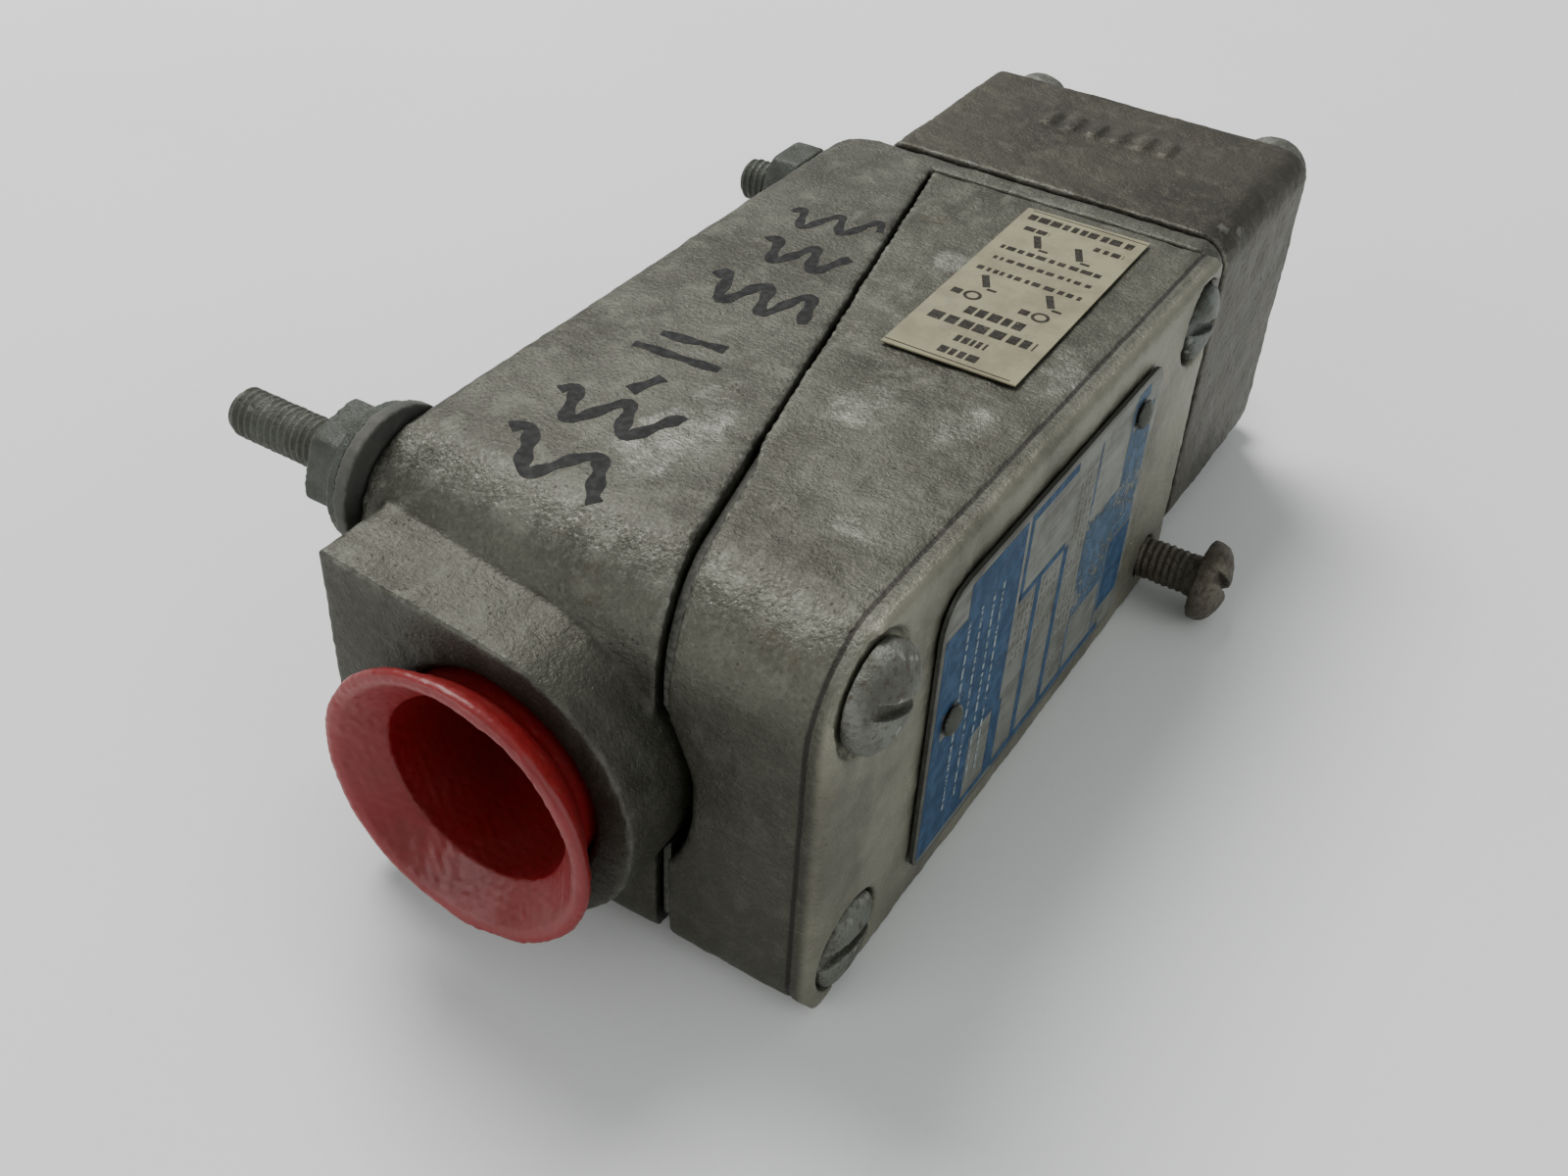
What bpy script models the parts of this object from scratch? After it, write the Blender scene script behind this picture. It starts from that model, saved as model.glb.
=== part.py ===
"""Heavy-duty limit switch: cast two-part case, square plunger head, conduit entry with its shipping plug.

The switch lies on its side. +X runs from the back (mounting) face to the cover, +Y from the conduit end to
the plunger end, +Z up. The origin is the centre of the side it lies on. Sizes below are in millimetres.
"""
import math

import bmesh
import bpy
from mathutils import Matrix, Vector

MM = 0.001

# ---- driving dimensions, mm ----
WIDTH = 40.0                    # across the case, the height as it lies
MID_Z = WIDTH / 2
BACK_X = -23.8                  # back face
LAND = 0.4                      # machined land that stands out of the back face
FRONT_X = 23.0                  # cover face
NEAR_Y = -54.2                  # conduit end of the case
COVER_END_Y = 23.4              # where the cover stops
WALL_Y = (23.7, 26.4)           # end wall that carries the head
HEAD_Y = (27.5, 54.2)
HEAD_X = (-18.5, 22.2)
HEAD_MID_X = sum(HEAD_X) / 2
SIDE_WALL = 3.2
CAVITY_NEAR_Y = -42.2
SEAM_AT_NEAR = 7.1              # x of the parting line at the conduit end
SEAM_SLOPE = -0.2366
GAP_NEAR = 1.3                  # open joint around the conduit entry
GAP_FAR = 0.5                   # closed joint along the rest
BOSS_Y = -60.7
BOSS_END_Y = -47.5
BOSS_X = -4.7
BOSS_R = 14.2
BORE_R = 10.0
SCREW_YZ = {"near_top": (-47.8, 34.0), "near_low": (-48.1, 5.4),
            "far_top": (19.6, 34.4), "far_low": (18.2, 4.9)}
SHANK_R = 2.4
HOLE_R = 2.7
LOOSE_HOLE_R = 2.48
HEAD_BOLT = 15.2                # head screws, half pitch
PLUNGER_R = 4.0
PIN_R = 2.0
TOUCH = 0.3                     # gap left between pieces that touch
TERMINAL_Y = (3.0, -6.0, -15.0, -24.0)
PLATE_X = (9.3, 10.1)           # level of the terminal plates and contact bars

for old in list(bpy.data.objects):
    bpy.data.objects.remove(old, do_unlink=True)

parts = bpy.data.collections.new("limit_switch")
cutters = bpy.data.collections.new("cutters")
for collection in (parts, cutters):
    bpy.context.scene.collection.children.link(collection)

MATERIALS = {
    "cast": ((0.28, 0.26, 0.22), 0.9, 0.55),
    "cover_cast": ((0.33, 0.31, 0.26), 0.9, 0.5),
    "head_cast": ((0.2, 0.18, 0.15), 0.9, 0.55),
    "steel": ((0.5, 0.52, 0.5), 1.0, 0.35),
    "zinc": ((0.42, 0.45, 0.43), 1.0, 0.45),
    "rubber": ((0.02, 0.02, 0.02), 0.0, 0.7),
    "red_plastic": ((0.4, 0.03, 0.03), 0.0, 0.35),
    "phenolic": ((0.05, 0.035, 0.03), 0.0, 0.4),
    "brass": ((0.6, 0.42, 0.16), 1.0, 0.3),
    "silver": ((0.75, 0.73, 0.7), 1.0, 0.25),
    "blue_plate": ((0.05, 0.14, 0.32), 0.3, 0.4),
    "paper": ((0.6, 0.5, 0.28), 0.0, 0.7),
}


# ---- making things ----
def finish(bm, name, where, kind, turn=(0, 0, 0)):
    """Turn a bmesh in millimetres into an object; kind None makes a cutter."""
    bmesh.ops.recalc_face_normals(bm, faces=bm.faces)
    bmesh.ops.scale(bm, vec=(MM, MM, MM), verts=bm.verts)
    mesh = bpy.data.meshes.new(name)
    bm.to_mesh(mesh)
    bm.free()
    obj = bpy.data.objects.new(name, mesh)
    obj.location = Vector(where) * MM
    obj.rotation_euler = turn
    if kind is None:
        cutters.objects.link(obj)
        obj.hide_render = True
        obj.display_type = "WIRE"
        return obj
    parts.objects.link(obj)
    colour, metallic, roughness = MATERIALS[kind]
    material = bpy.data.materials.new(name)
    material.use_nodes = True
    shader = material.node_tree.nodes["Principled BSDF"]
    shader.inputs["Base Color"].default_value = (*colour, 1)
    shader.inputs["Metallic"].default_value = metallic
    shader.inputs["Roughness"].default_value = roughness
    obj.data.materials.append(material)
    return obj


def rounded(corners, steps=8):
    """Outline from (a, b, radius) corners, each radius drawn as an arc."""
    outline = []
    count = len(corners)
    for i, (a, b, radius) in enumerate(corners):
        here = Vector((a, b))
        if not radius:
            outline.append(here)
            continue
        before = (Vector(corners[i - 1][:2]) - here).normalized()
        after = (Vector(corners[(i + 1) % count][:2]) - here).normalized()
        half = math.acos(max(-1, min(1, before.dot(after)))) / 2
        centre = here + (before + after).normalized() * (radius / math.sin(half))
        start = here + before * (radius / math.tan(half)) - centre
        end = here + after * (radius / math.tan(half)) - centre
        sweep = math.atan2(start.x * end.y - start.y * end.x, start.dot(end))
        for k in range(steps + 1):
            turn = Matrix.Rotation(sweep * k / steps, 2)
            outline.append(centre + turn @ start)
    return outline


def rectangle(low, high, radius=0.0, steps=6):
    return rounded([(low[0], low[1], radius), (high[0], low[1], radius),
                    (high[0], high[1], radius), (low[0], high[1], radius)], steps)


def circle(a, b, radius, count=24):
    angles = [2 * math.pi * k / count for k in range(count)]
    return [Vector((a + radius * math.cos(t), b + radius * math.sin(t))) for t in angles]


def prism(name, axis, outline, low, high, kind=None, where=(0, 0, 0)):
    """Extrude an outline along X (given as y, z), Y (x, z) or Z (x, y)."""
    place = {"X": lambda a, b, c: (c, a, b),
             "Y": lambda a, b, c: (a, c, b),
             "Z": lambda a, b, c: (a, b, c)}[axis]
    bm = bmesh.new()
    face = bm.faces.new([bm.verts.new(place(a, b, low)) for a, b in outline])
    extruded = bmesh.ops.extrude_face_region(bm, geom=[face])["geom"]
    moved = [v for v in extruded if isinstance(v, bmesh.types.BMVert)]
    bmesh.ops.translate(bm, verts=moved, vec=Vector(place(0, 0, high)) - Vector(place(0, 0, low)))
    return finish(bm, name, where, kind)


def box(name, low, high, kind=None, where=(0, 0, 0)):
    return prism(name, "Z", rectangle(low, high), low[2], high[2], kind, where)


def rod(name, axis, a, b, radius, low, high, kind=None, count=24):
    return prism(name, axis, circle(a, b, radius, count), low, high, kind)


OUT = {"+X": (0, math.pi / 2, 0), "-X": (0, -math.pi / 2, 0), "+Y": (-math.pi / 2, 0, 0),
       "-Y": (math.pi / 2, 0, 0), "+Z": (0, 0, 0)}


def turned(name, where, out, profile, kind=None, count=28):
    """Spin a profile of (radius, height) points about its own Z, then point that Z the way out says."""
    bm = bmesh.new()
    verts = [bm.verts.new((r, 0, h)) for r, h in profile]
    pairs = list(zip(verts, verts[1:]))
    if profile[0][0] > 0:
        pairs.append((verts[-1], verts[0]))
    edges = [bm.edges.new(pair) for pair in pairs]
    bmesh.ops.spin(bm, geom=verts + edges, cent=(0, 0, 0), axis=(0, 0, 1), angle=2 * math.pi, steps=count,
                   use_merge=True)
    bmesh.ops.remove_doubles(bm, verts=bm.verts, dist=0.0005)
    bmesh.ops.dissolve_degenerate(bm, edges=bm.edges, dist=0.0001)
    return finish(bm, name, where, kind, OUT[out])


def shape(obj, operation, *tools):
    for tool in tools:
        modifier = obj.modifiers.new(tool.name, "BOOLEAN")
        modifier.operation = operation
        modifier.solver = "EXACT"
        modifier.object = tool
    return obj


def cut(obj, *tools):
    return shape(obj, "DIFFERENCE", *tools)


def dome(radius, low, high, steps=5):
    """Points of a domed top, from the rim inwards to the middle."""
    rise = high - low
    angles = [math.pi / 2 * k / steps for k in range(steps + 1)]
    return [(radius * math.cos(t), low + rise * math.sin(t)) for t in angles[:-1]] + [(0, high)]


def slot_in(obj, where, width, low, high, spin):
    """Cut a screwdriver slot across a head."""
    name = obj.name + "_slot"
    tool = box(name, (-12, -width / 2, low), (12, width / 2, high), None)
    tool.location = Vector(where) * MM
    turn = obj.rotation_euler.to_matrix() @ Matrix.Rotation(math.radians(spin), 3, "Z")
    tool.rotation_euler = turn.to_euler()
    return cut(obj, tool)


def screw(name, where, out, head, length, shank, kind, slot=(1.2, 1.2), spin=0, domed=0.6, count=24):
    """Slotted screw; where is the middle of the underside of its head."""
    radius, height = head
    rim = height * (1 - domed)
    profile = [(0, -length), (shank - 0.5, -length), (shank, -length + 0.5), (shank, 0), (radius - 0.15, 0),
               (radius, 0.15)] + dome(radius, rim, height)
    obj = turned(name, where, out, profile, kind, count)
    return slot_in(obj, where, slot[0], height - slot[1], height + 1, spin)


def coil(name, where, out, radius, wire, length, turns, kind, sides=6, per_turn=14):
    """Compression spring as a swept curve turned into a closed mesh."""
    curve = bpy.data.curves.new(name, "CURVE")
    curve.dimensions = "3D"
    curve.bevel_depth = wire
    curve.bevel_resolution = (sides - 4) // 2
    curve.use_fill_caps = True
    spline = curve.splines.new("POLY")
    total = int(turns * per_turn)
    spline.points.add(total)
    for k in range(total + 1):
        t = 2 * math.pi * k / per_turn
        rise = wire + (length - 2 * wire) * k / total
        spline.points[k].co = (radius * math.cos(t), radius * math.sin(t), rise, 1)
    holder = bpy.data.objects.new(name + "_path", curve)
    cutters.objects.link(holder)
    bpy.context.view_layer.update()
    swept = holder.evaluated_get(bpy.context.evaluated_depsgraph_get())
    bm = bmesh.new()
    bm.from_mesh(swept.to_mesh())
    swept.to_mesh_clear()
    bpy.data.objects.remove(holder, do_unlink=True)
    bmesh.ops.remove_doubles(bm, verts=bm.verts, dist=0.001)
    return finish(bm, name, where, kind, OUT[out])


# ---- outlines of the case ----
def seam_x(y):
    return SEAM_AT_NEAR + SEAM_SLOPE * (y - NEAR_Y)


def side_outline(inset=0.0, far=WALL_Y[1]):
    """Case seen from the cover side: big radius over the conduit end, smaller one under it."""
    return rounded([(NEAR_Y + inset, inset, 4.0 - inset), (far, inset, 0), (far, WIDTH - inset, 0),
                    (NEAR_Y + inset, WIDTH - inset, 9.5 - inset)], 12)


def end_outline(front, radius):
    return rounded([(BACK_X, 0, 1.2), (front, 0, radius), (front, WIDTH, radius), (BACK_X, WIDTH, 1.2)], 6)


def boss_outline(grow=0.0):
    """Conduit boss seen from its end: square at the back, half round towards the cover."""
    radius = BOSS_R + grow
    back, half = -21.2, 16.0 + grow
    reach = math.hypot(back - BOSS_X, half)
    tangent = math.atan2(half, back - BOSS_X) - math.acos(radius / reach)
    arc = [-tangent + 2 * tangent * k / 28 for k in range(29)]
    round_side = [Vector((BOSS_X + radius * math.cos(t), MID_Z + radius * math.sin(t))) for t in arc]
    return [Vector((back, MID_Z - half))] + round_side + [Vector((back, MID_Z + half))]


# ---- case ----
cavity = prism("cavity", "Z", rectangle((BACK_X + SIDE_WALL, CAVITY_NEAR_Y), (FRONT_X - 3.0, WALL_Y[0]), 2.5),
               SIDE_WALL, WIDTH - SIDE_WALL)
cut(cavity, *[rod("post_" + name, "X", *SCREW_YZ[name], 4.5, BACK_X + 1, FRONT_X - 1)
              for name in ("far_top", "far_low")])
screw_holes = [rod("hole_" + name, "X", y, z, LOOSE_HOLE_R if name == "far_low" else HOLE_R,
                   -14 if name == "near_low" else BACK_X - 2, FRONT_X + 2)
               for name, (y, z) in SCREW_YZ.items()]

base_plan = rounded([(BACK_X, NEAR_Y, 1.2), (SEAM_AT_NEAR, NEAR_Y, 0), (seam_x(WALL_Y[0]), WALL_Y[0], 0),
                     (HEAD_X[1], WALL_Y[0], 0), (HEAD_X[1], WALL_Y[1], 0), (BACK_X, WALL_Y[1], 5.0)], 8)
base = prism("base_housing", "Z", base_plan, 0, WIDTH, "cast")
shape(base, "INTERSECT", prism("base_side", "X", side_outline(), BACK_X - 1, FRONT_X + 1),
      prism("base_end", "Y", end_outline(HEAD_X[1], 3.0), NEAR_Y - 1, WALL_Y[1] + 1))
shape(base, "UNION", prism("boss", "Y", boss_outline(), BOSS_Y, BOSS_END_Y),
      prism("back_land", "X", rectangle((-38, 4), (10, 36), 2.0), BACK_X - LAND, BACK_X + 1))
cut(base, cavity, *screw_holes)
cut(base, turned("conduit_bore", (BOSS_X, BOSS_Y, MID_Z), "-Y",
                 [(0, -20), (BORE_R, -20), (BORE_R, -1), (BORE_R + 1.2, 0.2), (BORE_R + 1.2, 2), (0, 2)],
                 None, 40))
cut(base, rod("pin_hole", "Y", HEAD_MID_X, MID_Z, PIN_R + 0.08, WALL_Y[0] - 1, WALL_Y[1] + 1))
for across in (-1, 1):
    for up in (-1, 1):
        cut(base, rod(f"wall_hole_{across:+d}_{up:+d}", "Y", HEAD_MID_X + across * HEAD_BOLT,
                      MID_Z + up * HEAD_BOLT, 2.35, WALL_Y[0] - 0.3, WALL_Y[1] + 1, None, 20))
block_screw_z = (14.5, 25.5)
BLOCK_SCREW_Y = -31.0
for z in block_screw_z:
    cut(base, rod(f"back_hole_{z:.0f}", "X", BLOCK_SCREW_Y, z, 1.9, BACK_X + 1, BACK_X + SIDE_WALL + 1,
                  None, 20))
cut(base, rod("ground_hole", "X", -37.5, MID_Z, 1.9, BACK_X + 1, BACK_X + SIDE_WALL + 1, None, 20))

cover_plan = rounded([(SEAM_AT_NEAR + GAP_NEAR, NEAR_Y, 0), (FRONT_X, NEAR_Y, 1.4),
                      (FRONT_X, COVER_END_Y, 0.4), (seam_x(COVER_END_Y) + GAP_FAR, COVER_END_Y, 0),
                      (seam_x(-32.2) + GAP_FAR, -32.2, 0), (seam_x(-35.8) + GAP_NEAR, -35.8, 0)], 6)
cover = prism("front_cover", "Z", cover_plan, 0, WIDTH, "cover_cast")
shape(cover, "INTERSECT", prism("cover_side", "X", side_outline(), BACK_X - 1, FRONT_X + 1),
      prism("cover_end", "Y", end_outline(FRONT_X, 1.1), NEAR_Y - 1, WALL_Y[1] + 1))
cut(cover, prism("boss_relief", "Y", boss_outline(GAP_NEAR - 0.1), NEAR_Y - 2, BOSS_END_Y + 1.2), cavity)
strip = [(seam_x(-70) - 1, -70), (seam_x(40) - 1, 40), (seam_x(40) + 1.35, 40), (seam_x(-70) + 1.35, -70)]
rebate = prism("gasket_rebate", "X", side_outline(1.0), -20, 20)
shape(rebate, "INTERSECT", prism("rebate_strip", "Z", strip, -1, WIDTH + 1))
cut(cover, rebate, *screw_holes)
counterbores = {"near_top": (5.5, 0.8), "near_low": (4.9, 2.2), "far_top": (4.7, 2.2)}
for name, (radius, depth) in counterbores.items():
    cut(cover, rod("counterbore_" + name, "X", *SCREW_YZ[name], radius, FRONT_X - depth, FRONT_X + 2))

gasket = prism("cover_gasket", "X", side_outline(1.3, 14.0), -20, 20, "rubber")
gasket_strip = [(seam_x(-70) + TOUCH, -70), (seam_x(40) + TOUCH, 40), (seam_x(40) + 1.05, 40),
                (seam_x(-70) + 1.05, -70)]
shape(gasket, "INTERSECT", prism("gasket_strip", "Z", gasket_strip, -1, WIDTH + 1))
cut(gasket, box("gasket_window", (-30, CAVITY_NEAR_Y, SIDE_WALL), (30, 40, WIDTH - SIDE_WALL)),
    prism("gasket_relief", "Y", boss_outline(TOUCH), NEAR_Y - 2, BOSS_END_Y + TOUCH))
for name in ("near_top", "near_low"):
    cut(gasket, rod("gasket_hole_" + name, "X", *SCREW_YZ[name], 3.0, -30, 30))

# ---- plunger head ----
head_outline = rounded([(HEAD_X[0], 0, 1.5), (HEAD_X[1], 0, 6.0), (HEAD_X[1], WIDTH, 3.5),
                        (HEAD_X[0], WIDTH, 1.5)], 8)
head = prism("head_block", "Y", head_outline, *HEAD_Y, "head_cast")
cut(head, turned("head_bore", (HEAD_MID_X, HEAD_Y[0], MID_Z), "+Y",
                 [(0, -1), (8.5, -1), (8.5, 18.8), (6.3, 18.8), (6.3, 30), (0, 30)]))
end_gasket = prism("head_gasket", "Y", rectangle((HEAD_X[0] + 0.7, 0.7), (HEAD_X[1] - 0.7, WIDTH - 0.7), 2.5),
                   WALL_Y[1] + TOUCH, HEAD_Y[0] - TOUCH, "rubber")
cut(end_gasket, rod("gasket_bore", "Y", HEAD_MID_X, MID_Z, 9.5, 20, 40))
for across in (-1, 1):
    for up in (-1, 1):
        x, z = HEAD_MID_X + across * HEAD_BOLT, MID_Z + up * HEAD_BOLT
        corner = f"{'front' if across > 0 else 'back'}_{'top' if up > 0 else 'low'}"
        hole = rod(f"head_hole_{corner}", "Y", x, z, 2.35, 20, 60, None, 20)
        cut(head, hole)
        cut(end_gasket, hole)
        screw(f"head_screw_{corner}", (x, HEAD_Y[1] + TOUCH, z), "+Y", (4.2, 5.0), 30.2, 2.05, "zinc",
              (1.2, 1.6), 20 + 50 * up + 15 * across, 0.35, 24)

bushing = turned("guide_bushing", (HEAD_MID_X, HEAD_Y[1], MID_Z), "+Y",
                 [(PLUNGER_R + 0.05, -7.5), (6.0, -7.5), (6.0, TOUCH), (9.0, TOUCH), (9.0, 2.6), (8.2, 3.4),
                  (PLUNGER_R + 0.05, 3.4)], "brass")
wiper = turned("wiper_seal", (HEAD_MID_X, HEAD_Y[1] + 3.4 + TOUCH, MID_Z), "+Y",
               [(PLUNGER_R + 0.06, 0), (6.6, 0), (6.3, 1.2), (4.9, 2.2), (PLUNGER_R + 0.06, 2.2)], "rubber")
plunger = turned("plunger", (HEAD_MID_X, HEAD_Y[1], MID_Z), "+Y",
                 [(0, -23.2), (3.4, -23.2), (PLUNGER_R, -22.6), (PLUNGER_R, -10.2), (7.4, -10.2), (7.4, -8.2),
                  (PLUNGER_R, -8.2), (PLUNGER_R, 13.5)] + dome(PLUNGER_R, 13.5, 16.5)[1:], "steel")
push_pin = turned("push_pin", (HEAD_MID_X, HEAD_Y[1], MID_Z), "+Y",
                  [(0, -42.7), (1.5, -42.7), (PIN_R, -42.2), (PIN_R, -23.5), (0, -23.5)], "steel", 24)
coil("plunger_spring", (HEAD_MID_X, WALL_Y[1] + TOUCH, MID_Z), "+Y", 5.9, 0.55,
     HEAD_Y[1] - 10.2 - WALL_Y[1] - 2 * TOUCH, 5.5, "steel")

# ---- conduit plug: tapered cup with a flared rim ----
turned("conduit_plug", (BOSS_X, BOSS_Y, MID_Z), "-Y",
       [(0, -14.2), (9.1, -14.2), (9.93, -0.5), (9.93, 0.7), (10.9, 1.5), (13.2, 3.9), (13.5, 4.5),
        (13.3, 5.0), (12.7, 5.1), (12.1, 4.8), (9.2, 1.9), (8.3, -13.0), (0, -13.0)], "red_plastic", 48)

# ---- cover screws, through bolts and nuts ----
def at_screw(name, x):
    return (x, *SCREW_YZ[name])


screw("mounting_bolt", at_screw("near_top", FRONT_X - 0.8 + TOUCH), "+X", (4.8, 3.2), 65.5, SHANK_R, "zinc",
      (1.3, 1.3), -20, 0.7)
turned("flat_washer", at_screw("near_top", BACK_X - 1.9), "-X",
       [(HOLE_R, 0), (6.5, 0), (6.5, 1.0), (HOLE_R, 1.0)], "zinc")
turned("rubber_washer", at_screw("near_top", BACK_X - TOUCH), "-X",
       [(HOLE_R, 0), (7.0, 0), (7.0, 1.3), (HOLE_R, 1.3)], "rubber")


def nut(name, where, spin, kind):
    """Hexagon nut with chamfered corners, facing away from the back."""
    corners = [math.radians(60 * k + spin) for k in range(6)]
    outline = [Vector((5.5 * math.cos(t), 5.5 * math.sin(t))) for t in corners]
    obj = prism(name, "X", outline, -3.6, 0, kind, where)
    shape(obj, "INTERSECT", turned(name + "_chamfer", where, "-X",
                                   [(0, -0.1), (5.1, -0.1), (5.6, 0.4), (5.6, 3.2), (5.0, 3.7), (0, 3.7)]))
    return cut(obj, turned(name + "_bore", where, "-X", [(0, -1), (HOLE_R, -1), (HOLE_R, 5), (0, 5)]))


nut("mounting_nut", at_screw("near_top", BACK_X - 3.2), 12, "zinc")
screw("cover_screw_far_top", at_screw("far_top", FRONT_X - 2.2 + TOUCH), "+X", (4.0, 3.0), 53.4, SHANK_R,
      "zinc", (1.3, 1.2), 75, 0.4)
nut("far_nut", at_screw("far_top", BACK_X - TOUCH), 0, "zinc")
screw("cover_screw_near_low", at_screw("near_low", FRONT_X - 2.2 + TOUCH), "+X", (4.5, 2.6), 33.0, SHANK_R,
      "zinc", (1.5, 1.2), 35, 0.35)
screw("loose_bolt", at_screw("far_low", FRONT_X + 6.9), "+X", (4.6, 3.2), 52.5, SHANK_R, "zinc",
      (1.3, 1.3), 40, 0.7)

# ---- nameplate and label ----
plate_outline = rounded([(-38.0, 4.8, 2.0), (7.6, 4.8, 2.5), (7.6, 36.3, 2.5), (-38.0, 36.3, 4.0)], 5)
plate = prism("nameplate", "X", plate_outline, FRONT_X + TOUCH, FRONT_X + TOUCH + 0.4, "blue_plate")
for name, y, z in (("rivet_near", -34.4, 21.4), ("rivet_far", 2.8, 32.6)):
    rivet_hole = rod(name + "_hole", "X", y, z, 1.1, FRONT_X - 2.5, FRONT_X + 2, None, 16)
    cut(plate, rivet_hole)
    cut(cover, rivet_hole)
    turned(name, (FRONT_X + TOUCH + 0.7, y, z), "+X",
           [(0, -3.0), (0.8, -3.0), (0.8, 0)] + dome(1.6, 0.0, 0.7, 4), "steel", 16)
label = box("circuit_label", (-6.8, -16.5, 0), (6.8, 16.5, 0.15), "paper", (9.1, 4.4, WIDTH + TOUCH))
label.rotation_euler = (0, 0, math.radians(1.2))

# ---- switch block ----
block_y = (-34.0, 9.0)
block_z = (5.0, 35.0)
block = box("switch_block", (BACK_X + SIDE_WALL + TOUCH, block_y[0], block_z[0]),
            (PLATE_X[0] - TOUCH, block_y[1], block_z[1]), "phenolic")
cut(block, box("block_cavity", (-6.0, -28.0, 12.0), (12.0, 6.0, 28.0)),
    box("carrier_way", (-0.8, 5.0, 16.7), (12.0, 12.0, 23.3)))
lid = box("switch_lid", (PLATE_X[1] + TOUCH, block_y[0], 11.7),
          (PLATE_X[1] + TOUCH + 1.6, block_y[1], 28.3), "phenolic")
for number, z in enumerate(block_screw_z, 1):
    hole = rod(f"block_hole_{number}", "X", BLOCK_SCREW_Y, z, 1.9, -30, 20, None, 20)
    cut(block, hole)
    cut(lid, hole)
    screw(f"block_screw_{number}", (PLATE_X[1] + 2 * TOUCH + 1.6, BLOCK_SCREW_Y, z), "+X", (3.1, 2.0), 33.6,
          1.6, "zinc", (0.9, 0.8), 30 * number, 0.5, 20)

carrier = box("contact_carrier", (-0.5, -19.5, 17.0), (PLATE_X[1], 11.2, 23.0), "phenolic")
bar_rest = (0.2, -17.8)
for number, y in enumerate(bar_rest, 1):
    cut(carrier, box(f"bar_slot_{number}", (PLATE_X[0] - TOUCH, y - TOUCH, 10), (12, y + 1.0 + TOUCH, 30)))
    box(f"contact_bar_{number}", (PLATE_X[0], y, 13.0), (PLATE_X[1], y + 1.0, 27.0), "silver")
coil("carrier_spring", (6.0, -27.7, MID_Z), "+Y", 2.2, 0.3, 7.9, 6, "steel")

TERMINAL_ROWS = {"low": (5.4, 11.5, 15.5, 8.2), "top": (34.6, 28.5, 24.5, 31.8)}
for row, (outer, step, inner, screw_z) in TERMINAL_ROWS.items():
    for number, y in enumerate(TERMINAL_Y, 1):
        name = f"terminal_{row}_{number}"
        outline = [(y - 3, outer), (y + 3, outer), (y + 3, step), (y + 1.5, step),
                   (y + 1.5, inner), (y - 1.5, inner), (y - 1.5, step), (y - 3, step)]
        terminal = prism(name, "X", outline, *PLATE_X, "brass")
        hole = rod(name + "_hole", "X", y, screw_z, 1.5, 2.0, 14, None, 16)
        cut(terminal, hole)
        cut(block, hole)
        screw(f"terminal_screw_{row}_{number}", (PLATE_X[1] + TOUCH, y, screw_z), "+X", (2.3, 1.6), 7.4, 1.2,
              "brass", (0.7, 0.7), 35 * number, 0.45, 16)

screw("ground_screw", (BACK_X + SIDE_WALL + TOUCH, -37.5, MID_Z), "+X", (3.2, 2.0), 2.4, 1.6, "brass",
      (0.9, 0.8), 15, 0.4, 20)
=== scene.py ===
"""Looks of an old cast-metal plunger limit switch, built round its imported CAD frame."""

import math
import random

import bpy
import numpy as np
from mathutils import Matrix, Vector
from mathutils.bvhtree import BVHTree


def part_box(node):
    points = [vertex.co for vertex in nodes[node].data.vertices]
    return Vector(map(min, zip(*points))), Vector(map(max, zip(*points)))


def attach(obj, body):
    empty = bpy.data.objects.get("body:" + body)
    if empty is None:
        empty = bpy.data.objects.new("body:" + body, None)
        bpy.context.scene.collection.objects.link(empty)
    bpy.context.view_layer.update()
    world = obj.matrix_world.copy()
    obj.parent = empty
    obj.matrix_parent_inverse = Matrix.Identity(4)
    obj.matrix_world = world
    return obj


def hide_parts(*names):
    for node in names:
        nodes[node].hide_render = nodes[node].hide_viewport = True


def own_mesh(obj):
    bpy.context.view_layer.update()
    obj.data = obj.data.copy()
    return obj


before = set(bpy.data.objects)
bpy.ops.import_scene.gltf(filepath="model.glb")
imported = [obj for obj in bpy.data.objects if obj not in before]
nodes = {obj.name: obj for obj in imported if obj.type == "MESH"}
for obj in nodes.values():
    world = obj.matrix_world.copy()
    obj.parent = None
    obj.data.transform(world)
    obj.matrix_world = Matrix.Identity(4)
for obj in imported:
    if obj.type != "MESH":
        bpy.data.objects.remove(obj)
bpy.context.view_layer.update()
scene = bpy.context.scene
MM = 0.001
PITCH = 0.794                   # thread pitch of the number 10 screws, in millimetres


# ---- materials ----
def feed(tree, socket, value):
    """Links a node's output to the socket, or sets the socket's own value."""
    if isinstance(value, Socket):
        tree.links.new(value.output, socket)
    elif socket.type == "RGBA" and len(value) == 3:
        socket.default_value = (*value, 1)
    else:
        socket.default_value = value


class Socket:
    """A node's output that takes part in arithmetic."""

    def __init__(self, tree, output):
        self.tree, self.output = tree, output

    def math(self, operation, *values):
        return maths(self.tree, operation, self, *values)

    def __add__(self, other):
        return self.math("ADD", other)

    def __sub__(self, other):
        return self.math("SUBTRACT", other)

    def __mul__(self, other):
        return self.math("MULTIPLY", other)

    def __truediv__(self, other):
        return self.math("DIVIDE", other)

    def __pow__(self, other):
        return self.math("POWER", other)

    def __rsub__(self, other):
        return maths(self.tree, "SUBTRACT", other, self)

    def __rtruediv__(self, other):
        return maths(self.tree, "DIVIDE", other, self)

    __radd__, __rmul__ = __add__, __mul__


def maths(tree, operation, *values):
    """The output of a new maths node, from outputs and numbers."""
    node = tree.nodes.new("ShaderNodeMath")
    node.operation = operation
    for socket, value in zip(node.inputs, values):
        feed(tree, socket, value)
    return Socket(tree, node.outputs[0])


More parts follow.
